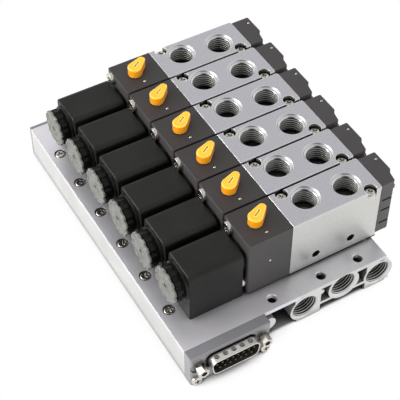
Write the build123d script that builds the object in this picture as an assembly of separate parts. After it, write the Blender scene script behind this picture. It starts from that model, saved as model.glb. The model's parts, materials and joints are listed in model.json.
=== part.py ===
from build123d import *
import math
import os

# Pneumatic valve island: six single-solenoid 5/2 spool valves on a common
# aluminium rail, with a junction box beside it that carries the coils' plugs
# and one 15-pole connector. Millimetres, +Z up.
# X runs from the coil nuts to the end caps, Y runs along the row of valves.
# The origin lies on the mounting plane, under the joint between the pilot
# blocks and the valve bodies, half way along the row.

# ---- row of valves ----
VALVES = 6
VALVE_W = 22.0
VALVE_GAP = 1.0
PITCH = VALVE_W + VALVE_GAP
HALF_W = VALVE_W / 2
END_MARGIN = 12.75
RAIL_HALF = ((VALVES - 1) * PITCH + VALVE_W) / 2 + END_MARGIN
MOUNT_FROM_END = 5.55
MOUNT_Y = RAIL_HALF - MOUNT_FROM_END

# ---- heights ----
DECK_Z = 19.3
GASKET_T = 1.35
BODY_H = 33.35
BODY_Z0 = DECK_Z + GASKET_T
BODY_Z1 = BODY_Z0 + BODY_H
SPOOL_RISE = 15.65
SPOOL_Z = BODY_Z0 + SPOOL_RISE
ARMATURE_RISE = 17.65
ARM_Z = BODY_Z0 + ARMATURE_RISE

# ---- fits ----
RUN_GAP = 0.05
SEAT_GAP = 0.3
THREAD_GAP = 0.05
WIRE_GAP = 0.008

# ---- G1/4 pipe thread, drawn as its plain major bore ----
PIPE_R = 6.58
PIPE_MOUTH_R = 7.25
PIPE_CORE_R = 5.7
PIPE_DEPTH = 10.3
DUCT_THREAD = 12.0

# ---- screws ----
M3_R = 1.5
M3_HOLE_R = 1.7
M3_HEAD_R = 2.8
M3_HEAD_H = 2.1
PAN_ROUND = 0.95
CHEESE_ROUND = 0.2
CROSS_ARM = 1.5
CROSS_WEB = 0.45
CROSS_DEPTH = 0.8
SHANK_CHAMFER = 0.35

# ---- valve body; places near the pilot block count from x = 0, the rest from the far end ----
BODY_L = 49.4
BODY_CORNER_R = 1.5
BODY_EDGE = 0.35
BORE_R = 5.0
CHAMBER_R = 6.4
PORT_A = (14.4, 1.7)
PORT_B = (BODY_L - 14.1, -0.9)
PORT_BOTTOM_R = 2.8
SUPPLY_R = 2.6
SUPPLY_X = (5.5, BODY_L / 2, BODY_L - 5.8)
CHAMBER_X = (SUPPLY_X[0], PORT_A[0], SUPPLY_X[1], PORT_B[0], SUPPLY_X[2])
CHAMBER_HALF = 2.6
SEAL_W = 1.6
SEAL_FROM_END = 1.6
SEAL_X = (
    SEAL_FROM_END,
    *((low + high) / 2 for low, high in zip(CHAMBER_X, CHAMBER_X[1:])),
    BODY_L - SEAL_FROM_END,
)
SEAL_GROOVE_R = 6.2
SEAL_GAP = 0.02
SIDE_HOLE_Z = BODY_Z0 + 6.25
SIDE_HOLES = ((14.3, SIDE_HOLE_Z), (BODY_L - 15.4, SIDE_HOLE_Z))
SIDE_HOLE_R = 2.15
HOLD_DOWN = ((6.1, HALF_W - 2.2), (BODY_L - 6.0, 1.9 - HALF_W))
HOLD_BORE_R = 3.1
HOLD_BORE_DEPTH = 4.0
HOLD_THREAD = 3.8

# ---- spool; its lands meet the seals at rest or at full travel ----
TRAVEL = 4.0
LAND_R = BORE_R - RUN_GAP
LAND_HALF = 1.1
LAND_TAIL = 1.0
NECK_R = 3.2
LANDS = (
    (-TRAVEL, SEAL_X[1] + LAND_HALF - TRAVEL),
    (SEAL_X[2] - LAND_HALF, SEAL_X[2] + LAND_HALF),
    (SEAL_X[3] - LAND_HALF - TRAVEL, SEAL_X[3] + LAND_HALF - TRAVEL),
    (SEAL_X[4] - LAND_HALF, SEAL_X[4] + LAND_HALF),
    (SEAL_X[5] - SEAL_W / 2 - TRAVEL, BODY_L + LAND_TAIL),
)
PISTON_R = 7.95
PISTON_T = 3.0
PISTON_CHAMBER = 8.5
SPRING_POCKET_R = 3.4
SPRING_POCKET_DEPTH = 6.6
SPRING_POCKET_X = BODY_L + LAND_TAIL - SPRING_POCKET_DEPTH
SPRING_R = 2.6
SPRING_WIRE_R = 0.4
SPRING_TURNS = 7

# ---- pilot block ----
PILOT_L = 23.3
PILOT_EDGE = 0.9
PILOT_TOP_EDGE = 0.36
PILOT_BOSS_R = 8.0
PILOT_BOSS_H = 2.0
PILOT_SCREW_DY = HALF_W - 4.8
PILOT_SCREW_DZ = 12.4
PILOT_SCREW_IN = 2.7
PILOT_HEAD_R = 3.2
PILOT_HEAD_H = 1.8
TUBE_SEAT = 4.3
SEAT_BORE = 5.3
NOZZLE_R = 0.8
PLUG_R = 0.9
PLUG_SUNK = 0.68
PLUG_GAP = 0.02
PLUG_TOP = (-11.6, 4.0 - HALF_W)
PLUG_SIDE = (-11.5, BODY_Z0 + 16.95)

# ---- manual override knob ----
KNOB_X = -13.4
KNOB_R = 3.6
KNOB_TIP_R = 2.0
KNOB_TIP = 6.5
KNOB_ANGLE = 31.8
KNOB_H = 4.6
KNOB_ROUND = 0.6
KNOB_SLOT_L = 4.4
KNOB_SLOT_W = 0.8
KNOB_SLOT_X = 1.9
KNOB_STEM_R = 2.95
KNOB_STEM = 9.4
KNOB_BEAD_R = 3.3
KNOB_BEAD_Z = 5.4
KNOB_BEAD_H = 0.8

# ---- coil, armature tube, plunger, nut ----
COIL_L = 27.8
COIL_W = VALVE_W - 2.2
COIL_TOP = 10.0
COIL_R = 2.6
COIL_END_R = 0.8
COLLAR_R = COIL_TOP - 0.3
COLLAR_T = 1.2
COIL_INNER = -PILOT_L - PILOT_BOSS_H
COIL_OUTER = COIL_INNER - COIL_L
TUBE_R = 4.5
TUBE_WALL = 0.5
PLUNGER_R = TUBE_R - TUBE_WALL - RUN_GAP
TUBE_CORE_L = 4.1
PLUNGER_L = COIL_L - TUBE_CORE_L
PLUNGER_TRAVEL = 1.0
CORE_GAP = PLUNGER_TRAVEL + 0.5
PLUNGER_POCKET_R = 2.2
PLUNGER_POCKET = 6.0
PLUNGER_SPRING_R = 1.5
PLUNGER_WIRE_R = 0.3
PLUNGER_TURNS = 5
STUD_R = 3.0
STUD_L = 4.4
NUT_R = 9.5
NUT_GRIP_R = 9.2
NUT_L = 6.0
NUT_NECK_R = 8.0
NUT_NECK = 0.8
NUT_LOBES = 12
NUT_NOTCH_R = 1.5
NUT_NOTCH = 1.0
NUT_FACE_T = 1.3
NUT_EYE_R = 1.0
PLUG_FOOT_L = 8.0
PLUG_FOOT_W = 5.0
PLUG_FOOT_IN = 14.7
PLUG_FOOT_X = COIL_INNER - PLUG_FOOT_IN
PLUG_FOOT_DEPTH = 5.6

# ---- end cap ----
CAP_L = 9.6
CAP_X1 = BODY_L + CAP_L
CAP_STEP = 1.6
CAP_CORNER_IN = 0.9
CAP_FAR = HALF_W - 1.5
CAP_NEAR = 0.7 - HALF_W
CAP_STEP_Y = (-3.0, -5.3)
CAP_CORNER_R = 0.7
CAP_BORE_R = 5.2
CAP_BORE = 6.6
CAP_LIFT = 0.45
CAP_GROOVES = (BODY_Z0 + 22.35, BODY_Z0 + 15.35, BODY_Z0 + 6.55)
CAP_GROOVE_H = 1.3
CAP_GROOVE_DEPTH = 0.6
CAP_GROOVE_START = 1.2
CAP_TAB_Z = BODY_Z1 - 5.8
CAP_TAB = (1.5, 2.4, 2.2)
CAP_HEAD_SINK = 3.4
CAP_SCREW_IN = 4.0
CAP_SCREW_DY = HALF_W - 4.8
CAP_SCREW_DZ = 8.5
PLUG_CAP = (BODY_L + 7.7, 5.5)

# ---- manifold rail; each duct lies under its row of valve passages ----
SEAM_X = -1.8
RAIL_X1 = BODY_L - 2.5
DECK_T = 2.3
DUCTS = (
    (SUPPLY_X[0] - 4.1, 8.7, 8.3),
    (SUPPLY_X[1] - 1.7, DECK_Z - 7.5, 8.7),
    (SUPPLY_X[2] - 0.3, 8.3, 8.3),
)
DUCT1_WALL_X = DUCTS[0][0] + 8.6
DUCT3_WALL_X = DUCTS[2][0] - 7.3
FOOT_T = 3.0
FOOT_INSET = 4.6
WEB_TOP = 6.9
WEB_T = 1.6
WEB_OVERLAP = 1.0
LEDGE_X = -4.6
SCREW_BUMP_R = 1.6
SCREW_BUMP_DROP = 2.4
MOUNT_X = (-14.2, DUCT1_WALL_X + 2.9, DUCT3_WALL_X - 2.1)
MOUNT_R = 2.2
MOUNT_SINK_R = 2.65

# ---- junction box ----
BOX_REACH = 9.7
BOX_X0 = COIL_OUTER - COLLAR_T - BOX_REACH
BOX_W = 42.1
BOX_X1 = BOX_X0 + BOX_W
BOX_WALL = 2.0
COVER_T = 2.4
COVER_SCREW_X = BOX_X0 + 5.5
COVER_RECESS_R = 3.0
COVER_RECESS = 1.5
COVER_HEAD_R = 2.6
COVER_HEAD_H = 1.4
SHELF_X = BOX_X0 + 8.7
GROOVE_DEPTH = 2.0
RIB_T = 1.2
BOARD_Z = 9.5
BOARD_T = 1.6
SHELF_Z = BOARD_Z + BOARD_T + SEAT_GAP
SOCKET_WALL = 1.5
SOCKET_GAP = 0.2
CORNER_BOSS = (2.8, 2.8)
CORNER_BOSS_R = 2.4
CORNER_HOLE_R = 1.2
SIDE_RIB = (2.7, 9.1, 4.1)
PLATE_T = 2.0
BLOCK_SCREW_HEAD_R = 2.6
BLOCK_SCREW_HEAD_H = 1.6
BLOCK_SCREW_L = 11.0

# ---- connector end block and 15-pole connector ----
BLOCK_T = 5.8
BLOCK_EDGE = 0.6
CONN_X = (BOX_X0 + BOX_X1) / 2
CONN_Z = DECK_Z - 7.3
SHELL_W = 25.25
SHELL_H = 8.36
SHELL_T = 0.4
SHELL_SLOPE = 10.0
SHELL_CORNER = 2.6
SHELL_L = 6.2
DIMPLE_COUNT = 5
DIMPLE_PITCH = 4.4
DIMPLE_R = 1.3
DIMPLE_SUNK = 0.85
DIMPLE_FROM_TIP = 2.6
FLANGE_W = 39.2
FLANGE_H = 12.4
FLANGE_T = 1.0
FLANGE_CORNER = 1.5
FLANGE_GAP = 0.2
FRONT_WALL = 1.4
CUTOUT_GAP = 1.0
JACK_SPACING = 33.32
JACK_BORE_R = 4.3
JACK_BORE = 0.7
JACK_AF = 4.8
JACK_OUT = 4.85
JACK_THREAD_R = 1.42
JACK_THREAD = 4.5
JACK_SHANK_R = 1.2
JACK_PASS_R = 1.7
JACK_NUT_T = 2.4
INSERT_FACE = 0.8
INSERT_REAR = 4.0
PIN_R = 0.5
PIN_NOSE_R = 0.4
PIN_PITCH = 2.77
PIN_ROW_PITCH = 2.84
PIN_OUT = 5.0
PIN_REAR = 3.0
PIN_COUNT = 8


# ---- shapes along the axes ----
def block(x0, x1, y0, y1, z0, z1):
    """A box from its two corners."""
    middle = Pos((x0 + x1) / 2, (y0 + y1) / 2, (z0 + z1) / 2)
    return middle * Box(abs(x1 - x0), abs(y1 - y0), abs(z1 - z0))


def rod_x(radius, x0, x1, y, z):
    """A round bar along X."""
    return Pos((x0 + x1) / 2, y, z) * Rot(0, 90, 0) * Cylinder(radius, abs(x1 - x0))


def rod_y(radius, y0, y1, x, z):
    """A round bar along Y."""
    return Pos(x, (y0 + y1) / 2, z) * Rot(90, 0, 0) * Cylinder(radius, abs(y1 - y0))


def rod_z(radius, z0, z1, x, y):
    """A round bar along Z."""
    return Pos(x, y, (z0 + z1) / 2) * Cylinder(radius, abs(z1 - z0))


def cone_z(low_r, high_r, z0, z1, x, y):
    """A round taper along Z."""
    return Pos(x, y, (z0 + z1) / 2) * Cone(low_r, high_r, z1 - z0)


def rect(x0, x1, z0, z1):
    """A rectangle of a cross-section, drawn in the plane of X and Z."""
    return Pos((x0 + x1) / 2, (z0 + z1) / 2) * Rectangle(abs(x1 - x0), abs(z1 - z0))


def disc(x, z, radius):
    """A disc of a cross-section."""
    return Pos(x, z) * Circle(radius)


def along_row(profile, y0, y1):
    """A cross-section in X and Z carried along Y."""
    return Pos(0, y1, 0) * extrude(Plane.XZ * profile, y1 - y0)


def cross_recess():
    """The cross recess of a screw head, centred on its axis, sunk from z = 0."""
    arm = Box(2 * CROSS_ARM, 2 * CROSS_WEB, CROSS_DEPTH) + Box(2 * CROSS_WEB, 2 * CROSS_ARM, CROSS_DEPTH)
    return Pos(0, 0, -CROSS_DEPTH / 2) * arm


def screw(head_r, head_h, shank_r, length, head_round=PAN_ROUND):
    """A cross-head screw with its seat at z = 0, its head up and its shank down."""
    head = Cylinder(head_r, head_h, align=(Align.CENTER, Align.CENTER, Align.MIN))
    head = fillet(head.edges().sort_by(Axis.Z)[-1], min(head_round, head_h / 2))
    shank = Pos(0, 0, -length / 2) * Cylinder(shank_r, length)
    shank = chamfer(shank.edges().sort_by(Axis.Z)[0], SHANK_CHAMFER)
    return head + shank - Pos(0, 0, head_h) * cross_recess()


def spring(radius, wire_r, turns, length):
    """A helical spring along +Z from z = 0."""
    rise = length - 2 * wire_r
    path = Helix(pitch=rise / turns, height=rise, radius=radius)
    start = Plane(origin=path @ 0, z_dir=path % 0)
    wire = sweep(start * Circle(wire_r - WIRE_GAP), path=path, is_frenet=True)
    return Pos(0, 0, wire_r) * wire


def valve_y(number):
    """Centre of one valve along the row."""
    return (number - (VALVES - 1) / 2) * PITCH


def each_valve(shape):
    """A copy of the shape at each valve."""
    return [Pos(0, valve_y(number), 0) * shape for number in range(VALVES)]


def group(shapes):
    """Separate solids that share one file."""
    return Compound(children=[solid for shape in shapes for solid in shape.solids()])


# ---- valve ----
def pipe_port(x, y):
    """A G1/4 work port: mouth chamfer, thread bore and the passage to its chamber."""
    mouth = PIPE_MOUTH_R - PIPE_R
    cut = rod_z(PIPE_R, BODY_Z1 - PIPE_DEPTH, BODY_Z1, x, y)
    cut += cone_z(PIPE_R, PIPE_MOUTH_R, BODY_Z1 - mouth, BODY_Z1, x, y)
    return cut + rod_z(PORT_BOTTOM_R, SPOOL_Z, BODY_Z1, x, y)


def pilot_screw_places():
    """The two diagonal screw axes of the pilot block, as (y, z)."""
    return ((PILOT_SCREW_DY, ARM_Z + PILOT_SCREW_DZ), (-PILOT_SCREW_DY, ARM_Z - PILOT_SCREW_DZ))


def cap_screw_places():
    """The two diagonal screw axes of the end cap, as (y, z)."""
    return ((CAP_SCREW_DY, SPOOL_Z + CAP_SCREW_DZ), (-CAP_SCREW_DY, SPOOL_Z - CAP_SCREW_DZ))


def valve_body():
    """The ported body with its spool bore, seal grooves and screw holes."""
    body = block(0, BODY_L, -HALF_W, HALF_W, BODY_Z0, BODY_Z1)
    end_edges = body.edges().filter_by(Axis.Z).group_by(Axis.X)[-1]
    body = fillet(end_edges, BODY_CORNER_R)
    body = chamfer(body.faces().sort_by(Axis.Z)[-1].edges(), BODY_EDGE)
    body -= pipe_port(*PORT_A)
    body -= pipe_port(*PORT_B)
    body -= rod_x(BORE_R, 0, BODY_L, 0, SPOOL_Z)
    for x in CHAMBER_X:
        body -= rod_x(CHAMBER_R, x - CHAMBER_HALF, x + CHAMBER_HALF, 0, SPOOL_Z)
    for x in SEAL_X:
        body -= rod_x(SEAL_GROOVE_R, x - SEAL_W / 2, x + SEAL_W / 2, 0, SPOOL_Z)
    for x in SUPPLY_X:
        body -= rod_z(SUPPLY_R, BODY_Z0, SPOOL_Z, x, 0)
    for x, z in SIDE_HOLES:
        body -= rod_y(SIDE_HOLE_R, -HALF_W, HALF_W, x, z)
    for x, y in HOLD_DOWN:
        body -= rod_z(M3_HOLE_R, BODY_Z0, BODY_Z1, x, y)
        body -= rod_z(HOLD_BORE_R, BODY_Z1 - HOLD_BORE_DEPTH, BODY_Z1, x, y)
    for y, z in pilot_screw_places():
        body -= rod_x(M3_R + THREAD_GAP, 0, PILOT_SCREW_IN + SEAT_GAP, y, z)
    for y, z in cap_screw_places():
        body -= rod_x(M3_R + THREAD_GAP, BODY_L - CAP_SCREW_IN - SEAT_GAP, BODY_L, y, z)
    return body


def gasket():
    """The flat gasket between a valve body and the rail."""
    half = HALF_W - SEAT_GAP
    flat = block(SEAT_GAP, BODY_L - SEAT_GAP, -half, half, DECK_Z, BODY_Z0)
    for x in SUPPLY_X:
        flat -= rod_z(SUPPLY_R, DECK_Z, BODY_Z0, x, 0)
    for x, y in HOLD_DOWN:
        flat -= rod_z(M3_HOLE_R, DECK_Z, BODY_Z0, x, y)
    return flat


def seal_ring(x):
    """One spool seal: a square ring with a rounded lip, seated in its groove."""
    lip = LAND_R + SEAL_GAP
    ring = rod_x(SEAL_GROOVE_R, x - SEAL_W / 2, x + SEAL_W / 2, 0, SPOOL_Z)
    return ring - rod_x(lip, x - SEAL_W / 2, x + SEAL_W / 2, 0, SPOOL_Z)


def spool():
    """The spool at rest, its pilot piston at the low end, its spring pocket at the high end."""
    last = LANDS[-1][1]
    piston_x0 = -PISTON_CHAMBER + SEAT_GAP
    bar = rod_x(NECK_R, piston_x0, last, 0, SPOOL_Z)
    for x0, x1 in LANDS:
        bar += rod_x(LAND_R, x0, x1, 0, SPOOL_Z)
    bar += rod_x(PISTON_R, piston_x0, piston_x0 + PISTON_T, 0, SPOOL_Z)
    return bar - rod_x(SPRING_POCKET_R, SPRING_POCKET_X, last, 0, SPOOL_Z)


def plug_depth():
    """Depth of the seat of a passage plug, so that the ball rests on its bottom."""
    return PLUG_SUNK + PLUG_R


def pilot_block():
    """The moulded pilot block between a valve body and its coil."""
    moulding = block(-PILOT_L, 0, -HALF_W, HALF_W, BODY_Z0, BODY_Z1)
    moulding = fillet(moulding.edges().filter_by(Axis.Z).group_by(Axis.X)[0], PILOT_EDGE)
    top = moulding.faces().sort_by(Axis.Z)[-1].edges()
    moulding = fillet(top.filter_by(Axis.X), PILOT_TOP_EDGE)
    moulding += rod_x(PILOT_BOSS_R, COIL_INNER, -PILOT_L, 0, ARM_Z)
    moulding -= rod_x(PISTON_R + RUN_GAP, -PISTON_CHAMBER, 0, 0, SPOOL_Z)
    moulding -= rod_x(TUBE_R + THREAD_GAP, COIL_INNER, SEAT_BORE - PILOT_L, 0, ARM_Z)
    moulding -= rod_x(NOZZLE_R, -PILOT_L, -PISTON_CHAMBER, 0, ARM_Z)
    moulding -= rod_z(KNOB_STEM_R + RUN_GAP, BODY_Z1 - KNOB_STEM - SEAT_GAP, BODY_Z1, KNOB_X, 0)
    bead_top = BODY_Z1 - KNOB_BEAD_Z + SEAT_GAP / 2
    bead_low = bead_top - KNOB_BEAD_H - SEAT_GAP
    moulding -= rod_z(KNOB_BEAD_R + 2 * RUN_GAP, bead_low, bead_top, KNOB_X, 0)
    for y, z in pilot_screw_places():
        moulding -= rod_x(M3_HOLE_R, -PILOT_L, 0, y, z)
    moulding -= rod_z(PLUG_R, BODY_Z1 - plug_depth(), BODY_Z1, *PLUG_TOP)
    return moulding - rod_y(PLUG_R, -HALF_W, plug_depth() - HALF_W, *PLUG_SIDE)


def knob():
    """The teardrop lever of the manual override with its snap-in stem."""
    base = BODY_Z1 + SEAT_GAP
    pointer = make_hull([
        *Circle(KNOB_R).edges(),
        *(Pos(KNOB_TIP, 0) * Circle(KNOB_TIP_R)).edges(),
    ])
    head = extrude(pointer, KNOB_H)
    head = fillet(head.edges().group_by(Axis.Z)[-1], KNOB_ROUND)
    slot = Pos(KNOB_SLOT_X, 0, KNOB_H) * Box(KNOB_SLOT_L, KNOB_SLOT_W, KNOB_SLOT_W)
    head = Pos(KNOB_X, 0, base) * Rot(0, 0, KNOB_ANGLE) * (head - slot)
    stem = rod_z(KNOB_STEM_R, BODY_Z1 - KNOB_STEM, base, KNOB_X, 0)
    bead_top = BODY_Z1 - KNOB_BEAD_Z
    stem += rod_z(KNOB_BEAD_R, bead_top - KNOB_BEAD_H, bead_top, KNOB_X, 0)
    return head + stem


def coil():
    """The moulded coil with its plug foot and its outer collar."""
    half = COIL_W / 2
    top = ARM_Z + COIL_TOP
    moulding = block(COIL_OUTER, COIL_INNER, -half, half, DECK_Z, top)
    long_edges = moulding.edges().filter_by(Axis.X).group_by(Axis.Z)[-1]
    moulding = fillet(long_edges, COIL_R)
    end = moulding.faces().sort_by(Axis.X)[0]
    moulding = fillet([edge for edge in end.edges() if edge.center().Z > DECK_Z + COIL_END_R], COIL_END_R)
    moulding += rod_x(COLLAR_R, COIL_OUTER - COLLAR_T, COIL_OUTER, 0, ARM_Z)
    foot_x = PLUG_FOOT_L / 2
    foot_y = PLUG_FOOT_W / 2
    moulding += block(PLUG_FOOT_X - foot_x, PLUG_FOOT_X + foot_x, -foot_y, foot_y,
                      DECK_Z - PLUG_FOOT_DEPTH, DECK_Z)
    return moulding - rod_x(TUBE_R + THREAD_GAP, COIL_OUTER - COLLAR_T, COIL_INNER, 0, ARM_Z)


def plunger_ends():
    """The plunger's two ends at rest: at the pilot nozzle, and at the spring."""
    nose = SEAT_BORE - PILOT_L - SEAT_GAP
    return nose, nose - PLUNGER_L


def armature_tube():
    """The guide tube, closed by its fixed core, with the nut's stud on its end."""
    inner = TUBE_SEAT - PILOT_L
    outer = COIL_OUTER - COLLAR_T
    core = plunger_ends()[1] - CORE_GAP
    tube = rod_x(TUBE_R, outer, inner, 0, ARM_Z)
    tube -= rod_x(TUBE_R - TUBE_WALL, core, inner, 0, ARM_Z)
    return tube + rod_x(STUD_R, outer - STUD_L, outer, 0, ARM_Z)


def plunger():
    """The armature at rest, with the pocket for its spring."""
    nose, tail = plunger_ends()
    bar = rod_x(PLUNGER_R, tail, nose, 0, ARM_Z)
    return bar - rod_x(PLUNGER_POCKET_R, tail, tail + PLUNGER_POCKET, 0, ARM_Z)


def notched_disc(radius):
    """A disc with a ring of round notches, of the same depth at any radius."""
    outline = Circle(radius)
    for number in range(NUT_LOBES):
        place = Rot(0, 0, number * 360 / NUT_LOBES) * Pos(radius + NUT_NOTCH_R - NUT_NOTCH, 0)
        outline -= place * Circle(NUT_NOTCH_R)
    return outline


def coil_nut():
    """The notched cap nut: neck, grip, wider face flange and centre eye."""
    seat = COIL_OUTER - COLLAR_T
    front = seat - NUT_L
    flange = front + NUT_FACE_T
    nut = rod_x(NUT_NECK_R, seat - NUT_NECK, seat, 0, ARM_Z)
    nut += Pos(flange, 0, ARM_Z) * extrude(Plane.YZ * notched_disc(NUT_GRIP_R), seat - NUT_NECK - flange)
    nut += Pos(front, 0, ARM_Z) * extrude(Plane.YZ * notched_disc(NUT_R), NUT_FACE_T)
    nut -= rod_x(STUD_R + THREAD_GAP, seat - STUD_L - SEAT_GAP, seat, 0, ARM_Z)
    return nut - rod_x(NUT_EYE_R, front, seat, 0, ARM_Z)


def cap_outline():
    """The end cap seen from above, its back stepped in towards the near side."""
    step = CAP_X1 - CAP_STEP
    far_step, near_step = CAP_STEP_Y
    return make_face(Polyline(
        (BODY_L, CAP_FAR), (CAP_X1, CAP_FAR), (CAP_X1, far_step), (step, near_step),
        (step - CAP_CORNER_IN, CAP_NEAR), (BODY_L, CAP_NEAR), (BODY_L, CAP_FAR)))


def end_cap():
    """The moulded cap that closes the spool bore and backs the return spring."""
    low = BODY_Z0 + CAP_LIFT
    cap = Pos(0, 0, low) * extrude(cap_outline(), BODY_Z1 - low)
    outer = cap.edges().filter_by(Axis.Z).filter_by(lambda e: e.center().X > BODY_L + CAP_CORNER_R)
    cap = fillet(outer, CAP_CORNER_R)
    groove_x = BODY_L + CAP_GROOVE_START
    for z in CAP_GROOVES:
        low = z - CAP_GROOVE_H / 2
        high = z + CAP_GROOVE_H / 2
        cap -= block(groove_x, CAP_X1, CAP_NEAR, CAP_NEAR + CAP_GROOVE_DEPTH, low, high)
        cap -= block(groove_x, CAP_X1, CAP_FAR - CAP_GROOVE_DEPTH, CAP_FAR, low, high)
    tab_out, tab_w, tab_h = CAP_TAB
    tab_x = CAP_X1 - CAP_STEP - CAP_CORNER_IN
    tab_y = CAP_NEAR + tab_w
    cap += block(tab_x - CAP_CORNER_IN, tab_x + tab_out, tab_y - tab_w / 2, tab_y + tab_w / 2,
                 CAP_TAB_Z - tab_h / 2, CAP_TAB_Z + tab_h / 2)
    cap -= rod_x(CAP_BORE_R, BODY_L, BODY_L + CAP_BORE, 0, SPOOL_Z)
    for y, z in cap_screw_places():
        cap -= rod_x(M3_HOLE_R, BODY_L, CAP_X1, y, z)
        cap -= rod_x(HOLD_BORE_R, CAP_X1 - CAP_HEAD_SINK, CAP_X1, y, z)
    return cap - rod_z(PLUG_R, BODY_Z1 - plug_depth(), BODY_Z1, *PLUG_CAP)


# ---- screws ----
def body_screws():
    """The two long screws that hold a valve body to the rail."""
    seat = BODY_Z1 - HOLD_BORE_DEPTH
    one = screw(M3_HEAD_R, M3_HEAD_H, M3_R, seat - DECK_Z + HOLD_THREAD)
    return [Pos(x, y, seat) * one for x, y in HOLD_DOWN]


def end_screws():
    """The diagonal screws of one pilot block and of one end cap."""
    long_screw = screw(PILOT_HEAD_R, PILOT_HEAD_H, M3_R, PILOT_L + PILOT_SCREW_IN, CHEESE_ROUND)
    short_screw = screw(M3_HEAD_R, M3_HEAD_H, M3_R, CAP_L - CAP_HEAD_SINK + CAP_SCREW_IN)
    screws = []
    for y, z in pilot_screw_places():
        screws.append(Pos(-PILOT_L, y, z) * Rot(0, -90, 0) * long_screw)
    for y, z in cap_screw_places():
        screws.append(Pos(CAP_X1 - CAP_HEAD_SINK, y, z) * Rot(0, 90, 0) * short_screw)
    return screws


def passage_plugs():
    """The steel balls that close the drilled passages of one valve."""
    ball = Sphere(PLUG_R - PLUG_GAP)
    return [
        Pos(PLUG_TOP[0], PLUG_TOP[1], BODY_Z1 - PLUG_SUNK) * ball,
        Pos(PLUG_SIDE[0], PLUG_SUNK - HALF_W, PLUG_SIDE[1]) * ball,
        Pos(PLUG_CAP[0], PLUG_CAP[1], BODY_Z1 - PLUG_SUNK) * ball,
    ]


def springs():
    """The spool spring and the plunger spring of one valve."""
    cap_end = BODY_L + CAP_BORE
    spool_spring = spring(SPRING_R, SPRING_WIRE_R, SPRING_TURNS, cap_end - SPRING_POCKET_X)
    tail = plunger_ends()[1]
    core = tail - CORE_GAP
    light = spring(PLUNGER_SPRING_R, PLUNGER_WIRE_R, PLUNGER_TURNS, CORE_GAP + PLUNGER_POCKET)
    return [
        Pos(SPRING_POCKET_X, 0, SPOOL_Z) * Rot(0, 90, 0) * spool_spring,
        Pos(core, 0, ARM_Z) * Rot(0, 90, 0) * light,
    ]


# ---- manifold rail ----
def rail_profile():
    """Deck, three ducts, webs and feet of the extruded rail."""
    under = DECK_Z - DECK_T
    (x1, z1, r1), (x2, z2, r2), (x3, z3, r3) = DUCTS
    section = rect(SEAM_X, RAIL_X1, under, DECK_Z)
    section += disc(x1, z1, r1) + rect(x1, DUCT1_WALL_X, 0, under)
    section += rect(x1 - FOOT_INSET, DUCT1_WALL_X, 0, FOOT_T)
    section += rect(LEDGE_X, x1, z1, DECK_Z - COVER_T)
    section += disc(DUCT1_WALL_X, under - SCREW_BUMP_DROP, SCREW_BUMP_R)
    section += disc(x2, z2, r2)
    section += disc(x3, z3, r3) + rect(DUCT3_WALL_X, x3, 0, under)
    section += rect(DUCT3_WALL_X, x3 + FOOT_INSET, 0, FOOT_T)
    web_low = WEB_TOP - WEB_T
    section += rect(DUCT1_WALL_X - WEB_OVERLAP, x2 - r2 + 2 * WEB_T, web_low, WEB_TOP)
    section += rect(x2 + r2 - 2 * WEB_T, DUCT3_WALL_X + WEB_OVERLAP, web_low, WEB_TOP)
    return section - rect(x2 - r2, x2 + r2, DECK_Z, z2 + 2 * r2)


def mount_hole(x, y, low):
    """A countersunk mounting hole down through the deck and what lies under it."""
    sink = MOUNT_SINK_R - MOUNT_R
    cut = rod_z(MOUNT_R, low, DECK_Z, x, y)
    return cut + cone_z(MOUNT_R, MOUNT_SINK_R, DECK_Z - sink, DECK_Z, x, y)


def manifold_rail():
    """The rail with its end ports, valve passages and screw holes."""
    rail = along_row(rail_profile(), -RAIL_HALF, RAIL_HALF)
    mouth = PIPE_MOUTH_R - PIPE_R
    for x, z, _ in DUCTS:
        rail -= rod_y(PIPE_CORE_R, -RAIL_HALF, RAIL_HALF, x, z)
        for side in (-1, 1):
            end = side * RAIL_HALF
            rail -= rod_y(PIPE_R, end - side * DUCT_THREAD, end, x, z)
            tilt = Rot(-90 * side, 0, 0)
            flare = Cone(PIPE_R, PIPE_MOUTH_R, mouth)
            rail -= Pos(x, end - side * mouth / 2, z) * tilt * flare
    thread_depth = HOLD_THREAD + SEAT_GAP
    for number in range(VALVES):
        y = valve_y(number)
        for x, (_, duct_z, _) in zip(SUPPLY_X, DUCTS):
            rail -= rod_z(SUPPLY_R, duct_z, DECK_Z, x, y)
        for x, dy in HOLD_DOWN:
            rail -= rod_z(M3_R + THREAD_GAP, DECK_Z - thread_depth, DECK_Z, x, y + dy)
    for x in MOUNT_X[1:]:
        for side in (-1, 1):
            rail -= mount_hole(x, side * MOUNT_Y, WEB_TOP - WEB_T)
    return rail


# ---- junction box ----
def corner_bosses():
    """The two end-screw axes in the lower corners of the box, as (x, z)."""
    dx, z = CORNER_BOSS
    return ((BOX_X0 + dx, z), (BOX_X1 - dx, z))


def box_profile():
    """U-shaped section of the junction box with its ribs, shelf and screw channels."""
    rim = DECK_Z - COVER_T
    left = BOX_X0 + BOX_WALL
    right = BOX_X1 - BOX_WALL
    section = rect(BOX_X0, BOX_X1, 0, BOX_WALL)
    section += rect(BOX_X0, left, 0, rim) + rect(right, BOX_X1, 0, rim)
    section += rect(left, SHELF_X, SHELF_Z, rim)
    section += rect(left, left + GROOVE_DEPTH, BOARD_Z - RIB_T, BOARD_Z)
    section += rect(right - GROOVE_DEPTH, right, BOARD_Z - RIB_T, BOARD_Z)
    section += rect(right - GROOVE_DEPTH, right, SHELF_Z, SHELF_Z + RIB_T)
    rib_dx, rib_z, rib_r = SIDE_RIB
    section += disc(BOX_X1 + rib_dx, rib_z, rib_r)
    for x, z in corner_bosses():
        section += disc(x, z, CORNER_BOSS_R)
        section -= disc(x, z, CORNER_HOLE_R)
    return section


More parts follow.
